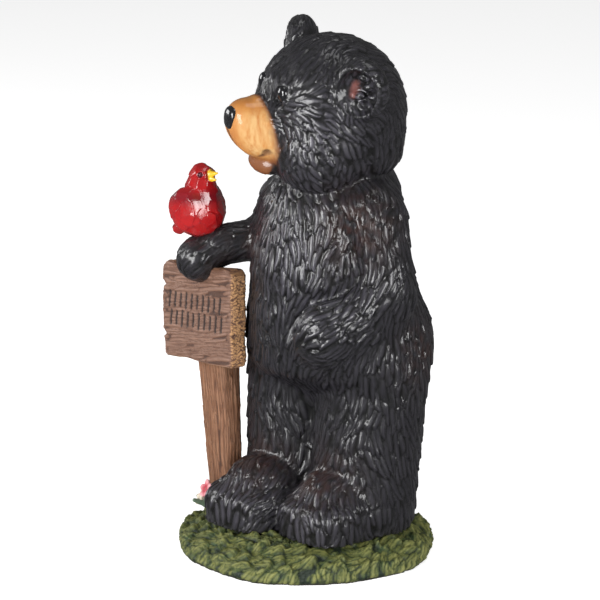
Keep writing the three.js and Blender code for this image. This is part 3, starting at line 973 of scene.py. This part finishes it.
def mound():
    """A low round mound with a flat underside. Blades lean to one side all the way round."""
    rng = np.random.default_rng(SEED + 1)
    R = MOUND_RADIUS

    def field(points):
        across = np.hypot(points[:, 0], points[:, 1])
        around = np.arctan2(points[:, 1], points[:, 0])
        edge = R - 1.0 + 1.0 * np.sin(5 * around + 1) + 0.7 * np.sin(9 * around)
        side = across - edge + np.interp(points[:, 2], *MOUND_SHOULDER)
        return np.maximum(side * 0.7, np.maximum(points[:, 2] - MOUND_HEIGHT, -points[:, 2]))

    low, high = (-R - 6, -R - 6, -4.1), (R + 6, R + 6, MOUND_HEIGHT + 5)
    points, quads, normals = sculpt("carved_mound", field, low, high)
    outward = unit(points * (1, 1, 0) + 1e-6)
    sideways = np.stack([-outward[:, 1], outward[:, 0], np.zeros(len(points))], 1)
    leaning = sideways * 0.55 + (0, 0, 1.0) + outward * 0.25
    flow = wavy(leaning, points, normals, 0.5, 16.0, rng)
    strength = smooth_step(0.5, 4.0, points[:, 2]) * smooth_step(-0.5, 0.2, normals[:, 2])
    fade = np.stack([np.ones_like(strength), np.ones_like(strength), strength], 1)
    tufts = comb(points, normals, flow, fade * LOCKS["grass tuft"], rng, tilt=0.6)
    blades = comb(points, normals, flow, fade * LOCKS["grass blade"], rng, wave=0.5)
    rise = tufts.relief + blades.relief
    raised = points + normals * (rise - 2.4 * strength)[:, None]
    raised[:, 2] = np.clip(raised[:, 2], 0, None)
    values = {
        "relief": (0.3 + 0.7 * blades.crown) * (0.15 + 0.85 * tufts.crown),
        "rim": smooth_step(1.6, 0.6, points[:, 2]),
    }
    make_piece("carved_mound", raised, quads, "grass_mound", grass_paint(), values, blades.strand)


# The signboard and its post

SIGN_TURN = turn_matrix(-10.0, -6.0, -4.0)
STROKE_LEAN = 0.12

# The board's worn edges: places along each edge, and how far in from the full size the edge is there
TOP_WEAR = ([-40, -34, -26, -22, 0, 20, 35, 40], [4, 0, 0.5, 3, 2.5, 1, 0.5, 3])
FOOT_WEAR = ([-40, -13, 13, 38, 40], [0, -1, 0.5, 0, -3])
RIGHT_WEAR = ([-30, -24, -10, 0, 10, 26, 30], [2, 0, 1.5, 0, 1, 0, 3])
LEFT_WEAR = ([-30, -18, -16.2, -13, 0, 13, 15.2, 18, 26, 30], [3, 1.5, 4, 0.5, 0, 0.5, 4, 0, 0.5, 5])
BOARD_ROUNDING = 2.2


def sign_place(points):
    return (points - SIGN_CENTRE) @ SIGN_TURN


def world_from_sign(points):
    return points @ SIGN_TURN.T + SIGN_CENTRE


def stroke_marks():
    """Two rows of short parallel strokes, each with its two ends."""
    count = 10
    pitch = (SIGN_SIZE[0] - 16) / count
    marks = []
    for n in range(count):
        x = (n - (count - 1) / 2) * pitch - 2
        for row, z in ((0, 6.5), (1, -5.0)):
            half = (9 - (n + row) % 3) / 2
            tip = np.array((math.sin(STROKE_LEAN), 0, math.cos(STROKE_LEAN))) * half
            middle = np.array((x + 1.5 * row, -SIGN_SIZE[1] / 2, z))
            marks.append((middle - tip, middle + tip))
    return marks


def board():
    rng = np.random.default_rng(SEED + 2)
    half = np.array(SIGN_SIZE) / 2

    def field(points):
        x, y, z = points.T
        top = half[2] - np.interp(x, *TOP_WEAR)
        foot = -half[2] - np.interp(x, *FOOT_WEAR)
        right = half[0] - np.interp(z, *RIGHT_WEAR)
        left = -half[0] + np.interp(z, *LEFT_WEAR)
        box = np.stack([x - right, left - x, z - top, foot - z, np.abs(y) - half[1]]) + BOARD_ROUNDING
        outside = np.sqrt((np.maximum(box, 0) ** 2).sum(0))
        return outside - BOARD_ROUNDING + np.minimum(box.max(0), 0)

    points, quads, normals = sculpt("carved_board", field, -half - 4, half + 4)
    end = smooth_step(0.5, 0.8, np.abs(normals[:, 0]))
    edge = smooth_step(0.5, 0.8, np.abs(normals[:, 2]))
    flow = np.where(np.abs(normals[:, :1]) > 0.6, (0.0, 1.0, 0.1), (1.0, 0.0, 0.1))
    flow = on_surface(flow, normals)
    grain, chips = np.array([LOCKS["board grain"], LOCKS["board end"]])
    locks = grain + (chips - grain) * end[:, None]
    carving = comb(points, normals, flow, locks, rng, spacing=1.1, wave=0.8)
    ink = np.zeros(len(points))
    for start, stop in stroke_marks():
        ink = np.maximum(ink, smooth_step(1.5, 0.7, rod(points, start, stop)))
    raised = points + normals * (carving.relief - 0.5 * locks[:, 2] - 0.7 * ink)[:, None]
    values = {"relief": carving.crown, "ink": ink, "rough_end": np.maximum(end, 0.4 * edge)}
    paint = wood_paint("board wood", (0.2, 0.1, 0.062), (0.085, 0.036, 0.022), (0.31, 0.19, 0.14))
    placed = world_from_sign(raised)
    make_piece("carved_board", placed, quads, "signboard", paint, values, carving.strand)


def post():
    """A stake with a squared section, wide under the board and narrow at the ground."""
    rng = np.random.default_rng(SEED + 3)
    foot = np.array(POST_FOOT)
    height = SIGN_CENTRE[2] + POST_ABOVE_SIGN_CENTRE - foot[2]
    behind = world_from_sign(np.array([(0.0, POST_SET_BACK - SIGN_SIZE[1] / 2 + POST_TOP[1] / 2, 0.0)]))[0]
    slant = (behind - foot) / (behind - foot)[2]
    turn = turn_matrix(-10.0)

    def local(points):
        up = points[:, 2] - foot[2]
        return np.column_stack([(points - foot - up[:, None] * slant)[:, :2], up]) @ turn

    def field(points):
        place = local(points)
        t = np.clip(place[:, 2] / height, 0, 1)
        half_width = (POST_BOTTOM[0] + (POST_TOP[0] - POST_BOTTOM[0]) * t) / 2
        half_depth = (POST_BOTTOM[1] + (POST_TOP[1] - POST_BOTTOM[1]) * t) / 2
        scaled = (np.abs(place[:, 0]) / half_width) ** 4 + (np.abs(place[:, 1]) / half_depth) ** 4
        side = (scaled**0.25 - 1) * half_depth
        inside_board = ball(sign_place(points), (0, 0, 0), np.array(SIGN_SIZE) / 2 - (1, 0.4, 1), 12.0)
        stake = np.maximum(side, np.maximum(-place[:, 2] - 1.5, place[:, 2] - height))
        return np.maximum(stake, -inside_board)

    low, high = (np.array(c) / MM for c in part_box("sign_post"))
    points, quads, normals = sculpt("carved_post", field, low - 4, high + 4)
    flow = unit(slant - normals * (normals @ slant)[:, None])
    locks = np.tile(LOCKS["post grain"], (len(points), 1))
    carving = comb(points, normals, flow, locks, rng, spacing=1.1)
    raised = points + normals * (carving.relief - 0.5 * locks[:, 2])[:, None]
    values = {"relief": carving.crown}
    paint = wood_paint("post wood", (0.235, 0.1, 0.045), (0.08, 0.03, 0.014), (0.34, 0.18, 0.1))
    make_piece("carved_post", raised, quads, "sign_post", paint, values, carving.strand)


# The songbird


def bird():
    rng = np.random.default_rng(SEED + 4)
    turn = turn_matrix(BIRD_YAW)
    wings = (lambda p, side=side: ball(p, (side * 11, 3, 19), (5.5, 11.5, 12.5)) for side in (1, -1))
    forms = [
        Form(lambda p: rod(p, (0, 1, 16.5), (0, -1.5, 38.5), (15.8, 7.4)), (0, 1, -0.9)),
        Form(lambda p: rod(p, (0, 9, 11), (0, 18, 3.5), (6, 3.5)), (0, 1, -0.5), fillet=5.0),
        *(Form(wing, (0, 1, -0.7), fillet=3.0) for wing in wings),
        Form(lambda p: rod(p, (0, -6.5, 40.3), (0, -14.0, 42.0), (2.9, 0.5)), (0, -1, 0.2), fillet=0.5),
        Form(lambda p: rod(p, (0, -6.5, 38.4), (0, -12.5, 37.6), (2.6, 0.6)), (0, -1, 0.0), fillet=0.5),
    ]
    eyes = [(side * 5.9, -5.2, 40.6) for side in (1, -1)]

    def field(points):
        body = joined(forms)(points)
        for eye in eyes:
            body = melt(body, ball(points, eye, (1.5, 1.5, 1.5)), 0.4)
        return body

    points, quads, normals = sculpt("carved_bird", field, (-20, -22, -3), (20, 26, 50))
    flow = wavy(blended_flow(forms, points), points, normals, 0.2, 21.0, rng)
    weights = shares(forms, points, 0.8)
    beak = weights[-2] + weights[-1]
    eye = np.maximum(*(smooth_step(2.0, 1.4, lengths(points - place)) for place in eyes))
    locks = np.tile(LOCKS["bird facet"], (len(points), 1))
    carving = comb(points, normals, flow, locks, rng, wave=0.1)
    plane = normals[carving.owner]
    over = ((points - points[carving.owner]) * plane).sum(1) * (1 - beak) * (1 - eye)
    raised = points - plane * np.clip(0.75 * over, -1.2, 0.6)[:, None]
    band = np.exp(-(((points[:, 2] - 27.0) / 4.0) ** 2))
    values = {
        "relief": carving.crown * (1 - beak) + beak,
        "yellow": smooth_step(0.4, 0.6, beak),
        "dark": np.maximum(0.55 * band, eye) * (1 - beak),
    }
    placed = raised @ turn.T + BIRD_PERCH
    make_piece("carved_bird", placed, quads, "red_bird", bird_paint(), values, carving.strand)


# The flowers at the foot of the post


FLOWER_ROOT = np.array((-52.0, -37.0, 23.8))
BLOSSOM = (-50.5, -36.5, 33)
PALE_BLOSSOM = (-55, -37.5, 26.5)
PETALS = 5


def petals(centre, look, length, width):
    """The fields of one blossom's petals, set in a ring that faces the way it looks."""
    look = np.array(look) / math.hypot(*look)
    side = np.cross(look, (0, 0, 1.0))
    side /= math.hypot(*side)
    up = np.cross(side, look)
    radii = (length * 0.6, width, 1.5)
    made = []
    for n in range(PETALS):
        angle = 2 * math.pi * n / PETALS
        way = side * math.cos(angle) + up * math.sin(angle)
        way = way * math.cos(0.35) + look * math.sin(0.35)
        across = np.cross(look, way)
        across /= math.hypot(*across)
        turn = np.stack([way, across, np.cross(way, across)], 1)
        middle = np.array(centre) + way * length * 0.5
        made.append(lambda p, middle=middle, turn=turn: ball(p, middle, radii, turn=turn))
    return made


def flowers():
    stems = [(BLOSSOM, (2.2, 1.8)), (PALE_BLOSSOM, (2.2, 1.8))]
    leaves = [(FLOWER_ROOT + (-8, 1, 3), (2.4, 1.2)), (FLOWER_ROOT + (-3, -7, 3), (2.4, 1.2))]
    green = [lambda p, end=end, radii=radii: rod(p, FLOWER_ROOT, end, radii) for end, radii in stems + leaves]
    blossoms = petals(BLOSSOM, (-0.3, -1, 0.5), 6.0, 2.4)
    pale = petals(PALE_BLOSSOM, (-0.6, -0.8, 0.5), 5.0, 2.2)
    parts = [melted(fields, [0.6] * len(fields)) for fields in (blossoms, pale, green)]
    field = melted(parts, (0.5, 0.5, 0.8))
    low, high = (np.array(c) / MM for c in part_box("flowers"))
    points, quads, _ = sculpt("carved_flowers", field, low - 4, high + 4)
    owner = np.stack([part(points) for part in parts]).argmin(0)
    values = {
        "tip": smooth_step(2.5, 6.0, lengths(points - BLOSSOM)),
        "cream": (owner == 1) * 1.0,
        "leaf": (owner == 2) * 1.0,
    }
    make_piece("carved_flowers", points, quads, "flowers", flower_paint(), values)


# The stage


def stage():
    mesh = bpy.data.meshes.new("floor")
    size = 20.0
    corners = [(-size, -size, 0), (size, -size, 0), (size, size, 0), (-size, size, 0)]
    mesh.from_pydata(corners, [], [(0, 1, 2, 3)])
    floor = add_object("floor", mesh)
    paint = Paint("floor")
    tone = paint.mix(paint.noise(400.0), (0.9, 0.9, 0.9), (0.93, 0.93, 0.93))
    glow = {"Emission_Color": (1, 1, 1), "Emission_Strength": FLOOR_GLOW}
    mesh.materials.append(paint.finish(tone, 0.9, **glow))
    floor.visible_glossy = False


def camera():
    side, height = math.radians(CAMERA_SIDE), math.radians(CAMERA_HEIGHT)
    back = Vector((math.sin(side) * math.cos(height), -math.cos(side) * math.cos(height), math.sin(height)))
    data = bpy.data.cameras.new("camera")
    data.lens = CAMERA_LENS
    data.sensor_width = 36.0
    data.clip_end = 100.0
    eye = add_object("camera", data)
    eye.location = (Vector(CAMERA_TARGET) + back * CAMERA_DISTANCE) * MM
    eye.rotation_euler = back.to_track_quat("Z", "Y").to_euler()
    bpy.context.scene.camera = eye


def lights():
    """Square soft lights, all aimed at the middle of the statue, and an even light from the world."""
    for name, (place, size, power) in LIGHTS.items():
        data = bpy.data.lights.new(name, "AREA")
        data.size = size
        data.energy = power
        lamp = add_object(name, data)
        lamp.location = place
        aim = Vector(place) - Vector(CAMERA_TARGET) * MM
        lamp.rotation_euler = aim.to_track_quat("Z", "Y").to_euler()
    world = bpy.data.worlds.new("world")
    world.use_nodes = True
    background = world.node_tree.nodes["Background"]
    background.inputs["Color"].default_value = (1, 1, 1, 1)
    background.inputs["Strength"].default_value = WORLD_LIGHT
    bpy.context.scene.world = world


camera()
stage()
lights()
bear()
eyes()
nose()
mound()
board()
post()
bird()
flowers()
bpy.context.scene.view_settings.view_transform = "Standard"
